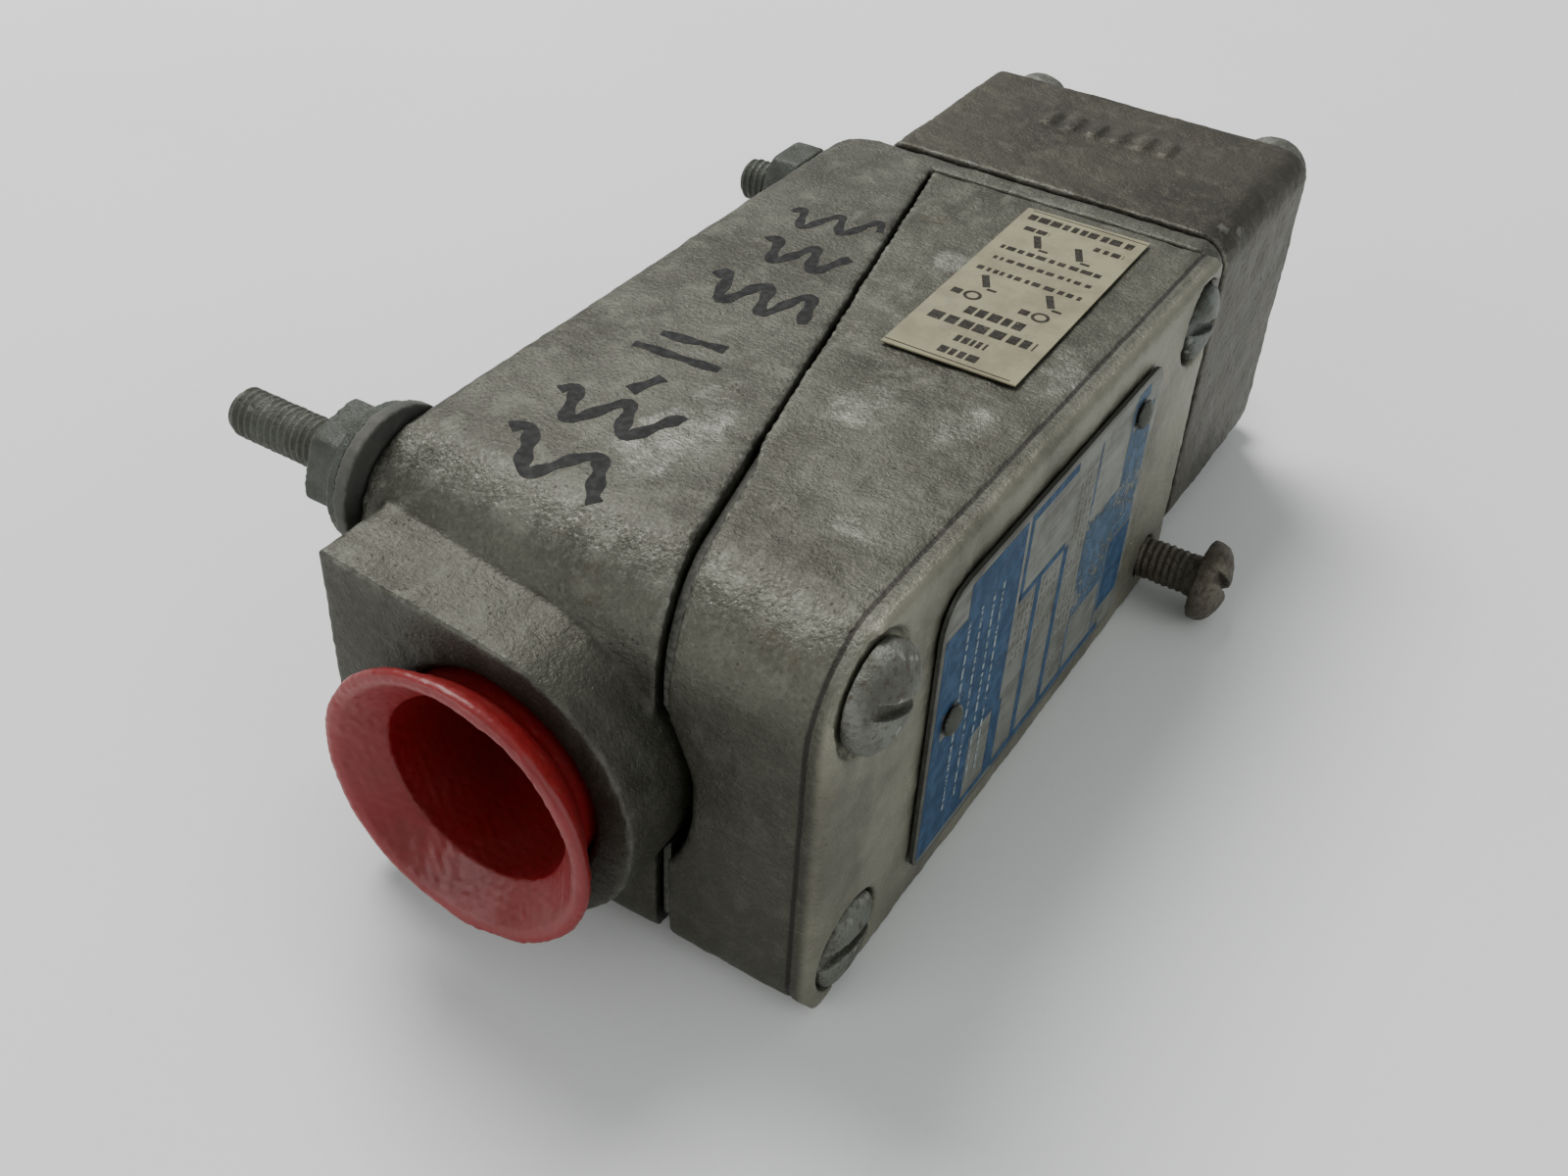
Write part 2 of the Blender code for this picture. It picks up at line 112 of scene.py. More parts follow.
class Finish:
    """A procedural material, with positions in millimetres."""

    def __init__(self, name, **constants):
        self.material = bpy.data.materials.new(name)
        self.material.use_nodes = True
        self.tree = self.material.node_tree
        self.shader = self.tree.nodes["Principled BSDF"]
        for key, value in constants.items():
            feed(self.tree, self.shader.inputs[key.replace("_", " ")], value)
        self.place = self.node("VectorMath", {"operation": "SCALE"},
                               self.node("TexCoord", out="Object"), 1000.0)
        self.x, self.y, self.z = (self.node("SeparateXYZ", None, self.place, out=axis)
                                  for axis in range(3))
        self.point = self.node("NewGeometry", out="Pointiness")
        self.up = self.node("SeparateXYZ", None, self.node("NewGeometry", out="Normal"), out=2)

    def node(self, kind, settings=None, *values, out=0, **named):
        """One output of a new node, which gets its settings first and then its values and links."""
        node = self.tree.nodes.new("ShaderNode" + kind)
        for key, value in (settings or {}).items():
            setattr(node, key, value)
        shown = [socket for socket in node.inputs if socket.enabled]
        for socket, value in zip(shown, values):
            feed(self.tree, socket, value)
        for key, value in named.items():
            feed(self.tree, node.inputs[key.replace("_", " ")], value)
        outputs = [socket for socket in node.outputs if socket.enabled]
        return Socket(self.tree, node.outputs[out] if isinstance(out, str) else outputs[out])

    def noise(self, size, detail=3.0, rough=0.55, where=None):
        return self.node("TexNoise", None, Vector=where or self.place, Scale=1 / size, Detail=detail,
                         Roughness=rough)

    def cells(self, size):
        return self.node("TexVoronoi", None, Vector=self.place, Scale=1 / size, out="Distance")

    def step(self, value, low, high):
        """A smooth rise from 0 at low to 1 at high, or a fall when high is the smaller."""
        return self.node("MapRange", {"interpolation_type": "SMOOTHSTEP"}, value, low, high, 0.0, 1.0)

    def mix(self, share, first, second):
        return self.node("Mix", {"data_type": "RGBA", "clamp_factor": True}, share, first, second)

    def most(self, first, second):
        """The larger of the two, between 0 and 1."""
        return self.node("Math", {"operation": "MAXIMUM", "use_clamp": True}, first, second)

    def stretch(self, x, y, z):
        """Positions scaled along each axis, so that a noise becomes streaks."""
        return self.node("VectorMath", {"operation": "MULTIPLY"}, self.place, (x, y, z))

    def spot(self, x, y, half):
        """1 at a place on the top face, fading with a ragged edge to 0 at half widths."""
        far = ((self.x - x) / half[0]) ** 2 + ((self.y - y) / half[1]) ** 2
        return self.step(far + (self.noise(3.0, 6, 0.7) - 0.5) * 7, 1.4, 0.0)

    def finish(self, colour, rough, metal, bump, depth, strength, alpha=None):
        """Wires the shader. Depth is the bump's height in millimetres."""
        wires = {"Base Color": colour, "Roughness": rough, "Metallic": metal, "Alpha": alpha}
        for key, value in wires.items():
            if value is not None:
                feed(self.tree, self.shader.inputs[key], value)
        relief = self.node("Bump", None, Strength=strength, Distance=depth * MM, Height=bump)
        feed(self.tree, self.shader.inputs["Normal"], relief)
        return self.material


# colours of wear and dirt, and of painted highlight and shade, and places in millimetres where they lie
# painted shade for corners and creases
HOLLOW_SHADE = (0.016, 0.013, 0.01)
PIT = (0.015, 0.013, 0.01)
SAND_HOLLOW = (0.03, 0.028, 0.022)
RUST_BLOOM = (0.075, 0.05, 0.026)
# bare metal on worn edges, also the painted highlight on the conduit end's rounding
BARE_AND_HIGHLIGHT_CASTING = (0.25, 0.252, 0.222)
OLIVE_FACE = (0.25, 0.24, 0.185)
# a dark line painted along the cover's groove
DARK_GROOVE_LINE = (0.014, 0.011, 0.009)
OILY_STEEL = (0.05, 0.052, 0.045)
FLASH_X = 20.7                  # parting line of the cover's mould
FRONT_EDGE_X = 21.4             # the cover's face is paler from here out
HIGHLIGHT_ROUNDING_Y = (-44.0, -48.5)     # the rounding at the top of the conduit end, where a sparkly highlight is painted
HIGHLIGHT_ROUNDING_Z = (36.5, 38.5)
SHADED_END_Y = (-49.5, -53.0)          # painted shade on the conduit end, darker lower down
SHADED_END_Z = (36.5, 32.0)
BEHIND_X = (-20, -24)           # screw ends behind the case, which oil has darkened


def casting(name, base, pale, dark, scuffs=(), cover=False):
    """Weathered sand-cast metal: mottled oxide, dark pits, bare bright edges, painted shade in corners
    and on the conduit end, and a painted highlight on its rounding.
    """
    f = Finish(name, Specular_IOR_Level=0.4)
    blotch, mottle, grain = f.noise(13, 5, 0.6), f.noise(2.6, 6, 0.65), f.noise(0.4, 4, 0.6)
    streak = f.noise(2.2, 6, 0.7, f.stretch(1, 0.22, 1))
    pits = f.cells(0.8)
    colour = f.mix(f.step(blotch, 0.40, 0.64) * 0.8, base, dark)
    colour = f.mix(f.step(mottle, 0.48, 0.70) * 0.5, colour, pale)
    colour = f.mix(f.step(streak, 0.55, 0.72) * 0.45, colour, pale)
    colour = f.mix(f.step(streak, 0.44, 0.30) * 0.5, colour, dark)
    colour = f.mix(f.step(grain, 0.50, 0.75) * 0.45, colour, pale)
    colour = f.mix(f.step(grain, 0.46, 0.25) * 0.5, colour, SAND_HOLLOW)
    colour = f.mix(f.step(pits, 0.20, 0.08) * f.step(f.noise(4, 3), 0.55, 0.66) * 0.6, colour, PIT)
    rust = f.step(f.noise(8, 6, 0.7), 0.62, 0.74)
    colour = f.mix(rust * 0.45, colour, RUST_BLOOM)
    bare = f.step(f.point, 0.515, 0.57) * f.step(mottle, 0.36, 0.6) * 0.8
    for x, y, half in scuffs:
        texture = f.step(mottle, 0.35, 0.6) * 0.45 + f.step(grain, 0.45, 0.6) * 0.25
        bare = f.most(bare, f.spot(x, y, half) * texture)
    highlight_sparkle = f.step(f.noise(0.35, 4, 0.7), 0.48, 0.66) * 0.4 + f.step(mottle, 0.4, 0.6) * 0.12
    # painted highlight: sparkly bright metal on the rounding at the top of the conduit end; from here
    # bare holds this highlight as well as real wear
    bare = f.most(bare, f.step(f.y, *HIGHLIGHT_ROUNDING_Y) * f.step(f.z, *HIGHLIGHT_ROUNDING_Z) * highlight_sparkle)
    colour = f.mix(bare * 0.8, colour, BARE_AND_HIGHLIGHT_CASTING)
    # painted shade: near-black in corners and creases, where pointiness is low
    colour = f.mix(f.step(f.point, 0.492, 0.455) * 0.85, colour, HOLLOW_SHADE)
    # painted shade: the conduit end darkened below its rounding, more so lower down
    colour = f.mix(f.step(f.y, *SHADED_END_Y) * f.step(f.z, *SHADED_END_Z) * 0.55, colour, dark)
    if cover:
        face = f.step(f.x, FRONT_EDGE_X, FRONT_EDGE_X + 1)
        colour = f.mix(face * (f.step(blotch, 0.65, 0.35) * 0.4 + 0.3), colour, OLIVE_FACE)
        # a dark line painted along the groove at FLASH_X
        line = f.step(f.node("Math", {"operation": "ABSOLUTE"}, f.x - FLASH_X), 0.34, 0.12)
        colour = f.mix(line * 0.85, colour, DARK_GROOVE_LINE)
    rough = 0.5 - bare * 0.12 + (mottle - 0.5) * 0.3
    height = grain * 0.7 + mottle * 0.8 + streak * 0.4 - f.step(pits, 0.22, 0.05) * 0.25
    return f.finish(colour, rough, 0.6 + bare * 0.3, height, 0.26, 0.65)


def hardware(name, base, stain, brown, rough, share, edge=(0.62, 0.61, 0.57)):
    """Bare or plated metal: stains, brown flecks, rubbed edges, and oil on the ends behind the case."""
    f = Finish(name)
    cloud, fleck, fine = f.noise(3.2, 5), f.noise(0.7, 5, 0.7), f.noise(0.22, 3)
    colour = f.mix(f.step(cloud, 0.42, 0.62) * 0.8, base, stain)
    rust = f.step(fleck, 0.66 - share * 0.3, 0.78 - share * 0.3)
    rust = f.most(rust * 0.8, f.step(f.point, 0.49, 0.44))
    colour = f.mix(rust * 0.9, colour, brown)
    bare = f.step(f.point, 0.52, 0.58) * f.step(cloud, 0.35, 0.55)
    colour = f.mix(bare * 0.8, colour, edge)
    colour = f.mix(f.step(f.x, *BEHIND_X) * 0.62, colour, OILY_STEEL)
    wear = rough + (cloud - 0.5) * 0.3 + rust * 0.35 - bare * 0.1
    return f.finish(colour, wear, 1.0 - rust * 0.85, fleck + fine * 0.6, 0.3, 0.7)


def moulded(name, base, dust, share, rough, **constants):
    """Plastic, rubber or resin with dust on what faces up and rubbed, paler edges."""
    f = Finish(name, **constants)
    cloud, fine = f.noise(4.5, 5), f.noise(0.6, 5, 0.65)
    lying = f.step(f.up, 0.2, 0.95) * 0.6 + 0.25
    powder = lying * f.step(cloud * 0.6 + fine * 0.4, 0.38, 0.66) * share
    rubbed = f.step(f.point, 0.51, 0.57) * f.step(fine, 0.35, 0.6) * share
    powder = f.most(powder, rubbed)
    shade = tuple(0.55 * channel for channel in base)
    colour = f.mix(f.step(f.noise(9, 3), 0.4, 0.65) * 0.3, base, shade)
    colour = f.mix(powder, colour, dust)
    return f.finish(colour, rough + powder * 0.4, None, fine + cloud, 0.1, 0.3)


def etched_plate():
    """Thin aluminium plate: brushed along its length and scratched, with painted shade along its edges.
    """
    f = Finish("worn_aluminium_plate")
    brushed = f.noise(0.6, 4, 0.6, f.stretch(1, 0.08, 1))
    cloud, scratch = f.noise(6, 6, 0.65), f.noise(0.5, 6, 0.7, f.stretch(1, 0.9, 0.12))
    colour = f.mix(f.step(cloud, 0.4, 0.65), (0.17, 0.175, 0.155), (0.10, 0.10, 0.085))
    colour = f.mix(f.step(brushed, 0.45, 0.62) * 0.35, colour, (0.26, 0.265, 0.25))
    colour = f.mix(f.step(f.noise(1.3, 6, 0.7), 0.62, 0.72) * 0.8, colour, (0.10, 0.06, 0.035))
    # painted shade: a dark band along the plate's near, top and bottom edges
    border_shade = f.step(f.y, -36.6, -37.9) + f.step(f.z, 35.2, 36.2) + f.step(f.z, 5.6, 4.9)
    colour = f.mix(border_shade * 0.6, colour, (0.03, 0.026, 0.022))
    rough = 0.42 + cloud * 0.25
    return f.finish(colour, rough, 0.75, brushed + scratch, 0.05, 0.4)


def ink(name, tone, gone, size, rough=0.55):
    """Printed or written colour that has worn through in grains of the given size in millimetres."""
    f = Finish(name, Specular_IOR_Level=0.15)
    grains, cloud = f.noise(size, 6, 0.7), f.noise(size * 7, 4)
    kept = f.step(grains * 0.6 + cloud * 0.4, gone - 0.035, gone + 0.035)
    faded = tuple(1.7 * channel + 0.02 for channel in tone)
    colour = f.mix(f.step(f.noise(size * 2.2, 5), 0.4, 0.65) * 0.55, tone, faded)
    return f.finish(colour, rough + cloud * 0.2, None, grains, 0.04, 0.3, alpha=kept)


def paper():
    """Yellowed, grubby label stock."""
    f = Finish("yellowed_paper")
    cloud, fine = f.noise(5, 6, 0.65), f.noise(0.5, 5, 0.7)
    colour = f.mix(f.step(cloud, 0.38, 0.66), (0.25, 0.23, 0.14), (0.185, 0.165, 0.1))
    colour = f.mix(f.step(fine, 0.58, 0.7) * 0.5, colour, (0.15, 0.12, 0.075))
    scrape = f.step(f.noise(2.2, 6, 0.75, f.stretch(1, 0.35, 1)), 0.63, 0.68)
    colour = f.mix(scrape * 0.7, colour, (0.2, 0.185, 0.15))
    return f.finish(colour, 0.62 + fine * 0.2, None, fine + cloud * 0.6, 0.08, 0.5)


def floor_sheet():
    """Pale matt board."""
    f = Finish("pale_floor", Specular_IOR_Level=0.2)
    cloud, fine = f.noise(60, 4), f.noise(1.2, 5)
    colour = f.mix(cloud, (0.74, 0.745, 0.75), (0.80, 0.80, 0.795))
    colour = f.mix(f.step(fine, 0.55, 0.75) * 0.15, colour, (0.62, 0.62, 0.61))
    return f.finish(colour, 0.75 + fine * 0.1, None, fine, 0.06, 0.25)


# rubbed places on the top faces, each with its x, y and half widths
COVER_SCUFFS = [(6, -22, (2.4, 3.4)), (15, -19.5, (2.4, 3.0)), (14.5, -38, (3.0, 1.2)),
                (19, -6, (2.0, 5.5)), (1, 6.5, (2.2, 2.8))]
BASE_SCUFFS = [(-4, -35, (3.6, 6.5)), (-3, -31, (2.5, 3.0))]
FINISHES = {
    "case_metal": casting("oxidised_casting", (0.074, 0.072, 0.057), (0.15, 0.148, 0.12),
                          (0.036, 0.034, 0.025), BASE_SCUFFS),
    "cover_metal": casting("oxidised_cover", (0.079, 0.077, 0.06), (0.155, 0.152, 0.122),
                           (0.04, 0.038, 0.028), COVER_SCUFFS, cover=True),
    "head_metal": casting("oxidised_head", (0.05, 0.045, 0.033), (0.095, 0.088, 0.067),
                          (0.026, 0.023, 0.016)),
    "gasket_rubber": moulded("perished_rubber", (0.035, 0.034, 0.031), (0.15, 0.145, 0.125),
                             0.7, 0.7),
    "red_plastic": moulded("dusty_red_plastic", (0.17, 0.0025, 0.004), (0.13, 0.035, 0.03),
                           0.2, 0.4, Subsurface_Weight=0.3, Subsurface_Scale=0.003,
                           Subsurface_Radius=(1.0, 0.1, 0.08)),
    "blue_plate": etched_plate(),
    "label_paper": paper(),
    "block_phenolic": moulded("brown_phenolic", (0.045, 0.024, 0.014), (0.16, 0.12, 0.09),
                              0.35, 0.4),
    "contact_silver": hardware("tarnished_silver", (0.62, 0.60, 0.55), (0.30, 0.26, 0.2),
                               (0.08, 0.06, 0.05), 0.3, 0.1),
    "brass": hardware("dull_brass", (0.46, 0.32, 0.13), (0.26, 0.17, 0.07),
                      (0.07, 0.045, 0.02), 0.35, 0.2),
    "bright_steel": hardware("ground_steel", (0.42, 0.41, 0.38), (0.24, 0.23, 0.20),
                             (0.09, 0.055, 0.03), 0.28, 0.15),
    "zinc_steel": hardware("dull_zinc", (0.17, 0.175, 0.155), (0.095, 0.096, 0.08),
                           (0.055, 0.04, 0.024), 0.56, 0.5, (0.28, 0.28, 0.25)),
}
GREY_STEEL = hardware("grey_steel", (0.12, 0.13, 0.12), (0.065, 0.068, 0.058),
                      (0.05, 0.036, 0.02), 0.5, 0.4, (0.24, 0.245, 0.22))
RUSTED = hardware("rusted_steel", (0.13, 0.12, 0.095), (0.075, 0.064, 0.05),
                  (0.045, 0.03, 0.018), 0.5, 0.6, (0.2, 0.19, 0.16))
MARKER = ink("black_marker", (0.01, 0.0095, 0.0095), 0.36, 0.35)
LABEL_INK = ink("label_ink", (0.02, 0.017, 0.013), 0.40, 0.25)
PLATE_INK = ink("plate_ink", (0.09, 0.08, 0.07), 0.50, 0.3)
BLUE = ink("blue_enamel", (0.014, 0.04, 0.085), 0.38, 0.55, 0.5)
FADED_BLUE = ink("faded_blue_enamel", (0.04, 0.07, 0.11), 0.47, 0.8, 0.5)
WHITE = ink("white_print", (0.18, 0.21, 0.225), 0.45, 0.3)


# ---- pieces refined from the CAD meshes ----
def ripple(points, size, seed):
    """Smooth waviness of about unit height, with the given wavelength in millimetres."""
    rng = np.random.default_rng(seed)
    ways = rng.normal(size=(16, 3))
    ways *= (2 * np.pi / size * rng.uniform(0.6, 1.6, 16) / np.linalg.norm(ways, axis=1))[:, None]
    return np.sin(points @ ways.T + rng.uniform(0, 6.28, 16)).sum(1) / 4


def bars(places, level, height):
    """Small raised blocks on the top face, as vertices and faces in millimetres."""
    corners = [(-1, -1), (1, -1), (1, 1), (-1, 1)]
    points, faces = [], []
    for x, y, half_x, half_y in places:
        start = len(points)
        points += [(x + i * half_x, y + j * half_y, level - 1.5) for i, j in corners]
        half_x, half_y = half_x - 0.15, half_y - 0.15
        points += [(x + i * half_x, y + j * half_y, level + height) for i, j in corners]
        faces += [[start + k for k in face] for face in ((3, 2, 1, 0), (4, 5, 6, 7), (0, 1, 5, 4),
                                                         (1, 2, 6, 5), (2, 3, 7, 6), (3, 0, 4, 7))]
    return points, faces


def add_mesh(name, points, faces, material):
    """A new object from points in millimetres."""
    mesh = bpy.data.meshes.new(name)
    mesh.from_pydata([[c * MM for c in point] for point in points], [], faces)
    mesh.materials.append(material)
    piece = bpy.data.objects.new(name, mesh)
    scene.collection.objects.link(piece)
    return piece


def baked(piece, kind, **settings):
    """Applies one modifier to the piece's mesh."""
    modifier = piece.modifiers.new(kind.lower(), kind)
    for key, value in settings.items():
        setattr(modifier, key, value)
    bpy.context.view_layer.update()
    mesh = bpy.data.meshes.new_from_object(piece.evaluated_get(bpy.context.evaluated_depsgraph_get()))
    piece.modifiers.clear()
    piece.data = mesh


def points_of(mesh, what="vertices", field="co"):
    """Positions, or another three-part field, of every vertex as an array."""
    values = np.empty(len(mesh.vertices) * 3, np.float32)
    getattr(mesh, what).foreach_get(field, values)
    return values.reshape(-1, 3).astype(float)


GROOVE = (0.5, 0.3)             # half width and depth of the groove in the cover
SHANK = (1.9, 2.6)              # radii between which a screw's surface is its shank


def refine(node, slot, body="case", material=None, voxel=0.35, soften=2,
           waves=((7, 0.05), (1.7, 0.03)), faces=60000, thread=None, turn=0, groove=None,
           extra=None, seed=1):
    """A worn stand-in for a CAD node: its mesh, rounded at the edges and made uneven.

    Waves are (wavelength, height). A thread is its axis y and z, its two ends along x and its
    depth, and turn rotates it with its screw. A groove is the x it is cut at, and extra holds
    raised blocks. Lengths are in millimetres.
    """
    mesh = nodes[node].data.copy()
    mesh.materials.clear()
    piece = bpy.data.objects.new("worn_" + node, mesh)
    scene.collection.objects.link(piece)
    if extra:
        addition = add_mesh("raised_bars", *extra, FINISHES[slot])
        joined = {"active_object": piece, "selected_editable_objects": [piece, addition]}
        with bpy.context.temp_override(**joined):
            bpy.ops.object.join()
    baked(piece, "REMESH", mode="VOXEL", voxel_size=voxel * MM)
    baked(piece, "SMOOTH", factor=0.5, iterations=soften)
    mesh = piece.data
    points, normals = points_of(mesh) / MM, points_of(mesh, "vertex_normals", "vector")
    shift = sum(ripple(points, size, seed + i) * height for i, (size, height) in enumerate(waves))
    if groove:
        near = np.clip(1 - np.abs(points[:, 0] - groove) / GROOVE[0], 0, 1)
        shift = shift - GROOVE[1] * near * near * (np.abs(normals[:, 0]) < 0.5)
    points += normals * shift[:, None]
    if thread:
        y, z, low, high, deep = thread
        radius = np.hypot(points[:, 1] - y, points[:, 2] - z)
        angle = np.arctan2(points[:, 2] - z, points[:, 1] - y) + math.radians(turn)
        phase = 2 * np.pi * points[:, 0] / PITCH - angle
        cut = deep * (0.5 + 0.5 * np.cos(phase)) ** 0.8
        cut *= (radius > SHANK[0]) & (radius < SHANK[1])
        cut *= (points[:, 0] > low) & (points[:, 0] < high)
        points[:, 1] = y + (radius - cut) * np.cos(angle)
        points[:, 2] = z + (radius - cut) * np.sin(angle)
    mesh.vertices.foreach_set("co", (points * MM).astype(np.float32).ravel())
    total = sum(len(face.vertices) - 2 for face in mesh.polygons)
    if total > faces:
        baked(piece, "DECIMATE", ratio=faces / total)
    piece.data.polygons.foreach_set("use_smooth", [True] * len(piece.data.polygons))
    piece.data.materials.clear()
    piece.data.materials.append(material or FINISHES[slot])
    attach(piece, body)
    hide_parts(node)
    return piece


HEAD_TOP = 40
FINE = ((2.5, 0.015),)
cast_mark = [(x, 44.5, 0.75, 1.9) for x in (-6.3, -3.4, -0.5, 2.4, 5.3, 8.2)]
base = refine("base_housing", "case_metal", faces=110000, seed=3)
refine("front_cover", "cover_metal", faces=110000, groove=FLASH_X, seed=5)
refine("head_block", "head_metal", faces=90000, extra=bars(cast_mark, HEAD_TOP, 0.35), seed=9)
near_top, near_low = (-47.8, 34.0), (-48.1, 5.4)
far_top, far_low = (19.6, 34.4), (18.2, 4.9)
refine("conduit_plug", "red_plastic", "conduit_plug", voxel=0.17, faces=90000,
       waves=((6, 0.05), (1.1, 0.02)), seed=11)
refine("mounting_bolt", "zinc_steel", voxel=0.17, soften=2, faces=70000, waves=FINE,
       thread=(*near_top, -44, 10, 0.24), turn=85, seed=13)
refine("cover_screw_far_top", "zinc_steel", material=GREY_STEEL, voxel=0.17, faces=50000,
       waves=FINE, thread=(*far_top, -34, 5, 0.24), seed=15)
refine("cover_screw_near_low", "zinc_steel", voxel=0.17, faces=30000, waves=FINE,
       thread=(*near_low, -14, 10, 0.24), turn=42, seed=17)
refine("loose_bolt", "zinc_steel", "loose_bolt", RUSTED, 0.17, waves=((2.2, 0.03), (0.8, 0.02)),
       faces=70000, thread=(*far_low, -24, 28.6, 0.2), seed=19)
small = {"mounting_nut": "zinc_steel", "far_nut": "zinc_steel", "flat_washer": "zinc_steel",
         "rubber_washer": "gasket_rubber", "guide_bushing": "brass", "wiper_seal": "gasket_rubber"}
for count, (node, slot) in enumerate(small.items()):
    refine(node, slot, material=GREY_STEEL if slot == "zinc_steel" else None, voxel=0.2,
           waves=FINE, faces=25000, seed=21 + count)
for count, corner in enumerate(("back_low", "back_top", "front_low", "front_top")):
    refine("head_screw_" + corner, "zinc_steel", voxel=0.2, waves=FINE, faces=20000,
           seed=31 + count)
for node in ("rivet_near", "rivet_far"):
    refine(node, "bright_steel", material=GREY_STEEL, voxel=0.12, waves=FINE, faces=9000, seed=41)
refine("plunger", "bright_steel", "plunger", voxel=0.22, waves=((3, 0.01),), faces=50000, seed=43)

# each spring is copied with the bright steel finish, attached to the case, and its CAD node hidden
for node, joint in {"plunger_spring": "plunger_slide", "carrier_spring": "carrier_slide"}.items():
    low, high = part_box(node)
    spring = bpy.data.objects.new("coiled_" + node, nodes[node].data.copy())
    scene.collection.objects.link(spring)
    spring.data.materials[0] = FINISHES["bright_steel"]
    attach(spring, "case")
    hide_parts(node)
    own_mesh(spring)

for name, piece in nodes.items():
    slots = [slot.name.split(".")[0] for slot in piece.data.materials]
    for place, slot in enumerate(slots):
        piece.data.materials[place] = FINISHES[slot]


# ---- writing and print, laid on the surfaces ----
def ring(x, y, radius, count=22):
    """Points of a closed circle."""
    turns = [2 * math.pi * i / count for i in range(count + 1)]
    return [(x + radius * math.cos(t), y + radius * math.sin(t)) for t in turns]


def greek(start, end, level, height, rng, swap=False, dash=(0.35, 1.2)):
    """Short blocks in a row, or in a column when swapped, that stand for small print."""
    marks, at = [], start
    while at < end:
        wide = min(rng.uniform(*dash), end - at)
        mark = [(at, level), (at + wide, level)]
        marks.append(([(b, a) for a, b in mark] if swap else mark, height))
        at += wide + rng.uniform(0.2, 0.5)
    return marks


OUTSIDE = 0.06                  # where rays start, in metres, clear of every face


def laid(name, strokes, target, material, face, lift, wobble=0.0, cell=0.7):
    """Ribbons of print that follow the surface under them.

    Strokes are (points, width), as x and y on the top face or y and z on the front face.
    Ribbons leave out the faces that would reach over a hole.
    """
    mesh = target.data
    tree = BVHTree.FromPolygons([v.co for v in mesh.vertices], [p.vertices for p in mesh.polygons])
    ray = Vector((0, 0, -1)) if face == "top" else Vector((-1, 0, 0))
    points, faces, holes = [], [], set()
    rng = random.Random(name)
    for line, width in strokes:
        places = []
        for (a, b), (c, d) in zip(line, line[1:]):
            steps = max(1, math.ceil(math.hypot(c - a, d - b) / cell))
            places += [(a + (c - a) * i / steps, b + (d - b) * i / steps) for i in range(steps)]
        places.append(line[-1])
        rows = max(1, math.ceil(width / cell))
        start, lean = len(points), rng.uniform(0, 6)
        for i, (a, b) in enumerate(places):
            before, after = places[max(i - 1, 0)], places[min(i + 1, len(places) - 1)]
            along = Vector((after[0] - before[0], after[1] - before[1])).normalized()
            reach = width / 2 * (1 + wobble * math.sin(i * 0.7 + lean))
            for j in range(rows + 1):
                side = reach * (2 * j / rows - 1)
                u, v = (a - along.y * side) * MM, (b + along.x * side) * MM
                origin = Vector((u, v, OUTSIDE)) if face == "top" else Vector((OUTSIDE, u, v))
                hit = tree.ray_cast(origin, ray)[0]
                if hit is None:
                    holes.add(len(points))
                points.append(((hit or origin) - ray * lift * MM) / MM)
        for i in range(len(places) - 1):
            for j in range(rows):
                k = start + i * (rows + 1) + j
                face_points = (k, k + 1, k + rows + 2, k + rows + 1)
                if not holes.intersection(face_points):
                    faces.append(face_points)
    used = sorted({k for face_points in faces for k in face_points})
    order = {k: i for i, k in enumerate(used)}
    piece = add_mesh(name, [points[k] for k in used], [[order[k] for k in face_points]
                                                       for face_points in faces], material)
    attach(piece, "case")


def wave(start, end, swing, turns, count=40):
    """A winding line between two places."""
    points = []
    for i in range(count + 1):
        share = i / count
        side = swing * math.sin(2 * math.pi * turns * share + 0.6)
        points.append((start[0] + (end[0] - start[0]) * share,
                       start[1] + (end[1] - start[1]) * share + side))
    return points


writing = [
    (wave((-16.0, -44.0), (-4.0, -44.6), 2.4, 1.6), 1.4),
    (wave((-16.2, -37.0), (-4.6, -35.6), 2.3, 2.2), 1.3),
    ([(-11.2, -32.2), (-10.0, -28.8)], 1.2), ([(-15.6, -25.6), (-6.8, -24.8)], 1.1),
    ([(-14.6, -22.6), (-8.2, -21.6)], 1.1),
    (wave((-16.8, -12.0), (-5.0, -11.2), 2.5, 2.6), 1.2),
    (wave((-16.6, -2.8), (-7.8, -2.0), 2.3, 2.1), 1.1),
    (wave((-18.0, 4.4), (-8.4, 7.0), 2.0, 2.4), 0.9),
]
laid("marker_writing", writing, base, MARKER, "top", 0.03, wobble=0.22, cell=0.5)

rng = random.Random(7)
label = greek(2.9, 14.6, 18.9, 1.25, rng, dash=(0.6, 1.5))
label += greek(3.6, 6.4, 16.3, 0.9, rng) + greek(11.4, 14.6, 16.3, 0.9, rng)
label += greek(3.4, 14.6, 11.2, 0.8, rng) + greek(3.8, 14.4, 8.7, 0.7, rng, dash=(0.3, 0.9))
label += greek(3.4, 14.6, 5.9, 0.8, rng) + greek(6.4, 12.5, -2.4, 1.5, rng, dash=(0.8, 1.4))
label += greek(3.9, 14.9, -5.0, 1.5, rng, dash=(0.8, 1.4)) + greek(8.0, 11.2, -7.7, 1.2, rng)
label += greek(7.6, 11.6, -10.2, 1.2, rng)
for x, low, high in ((6.4, 12.6, 15.3), (11.0, 12.6, 15.3), (5.8, 2.2, 4.7), (12.7, 2.2, 4.7)):
    label += [([(x - 0.9, high), (x + 0.3, low + 0.3)], 0.75),
              ([(x + 0.5, low), (x + 1.5, low)], 0.4)]
for x in (5.7, 12.9):
    label += [(ring(x, 0.3, 0.75), 0.35), ([(x - 2.2, 0.3), (x - 1.2, 0.3)], 1.0)]
label += [([(2.7, y), (15.5, y)], 0.14) for y in (20.4, -11.6)]
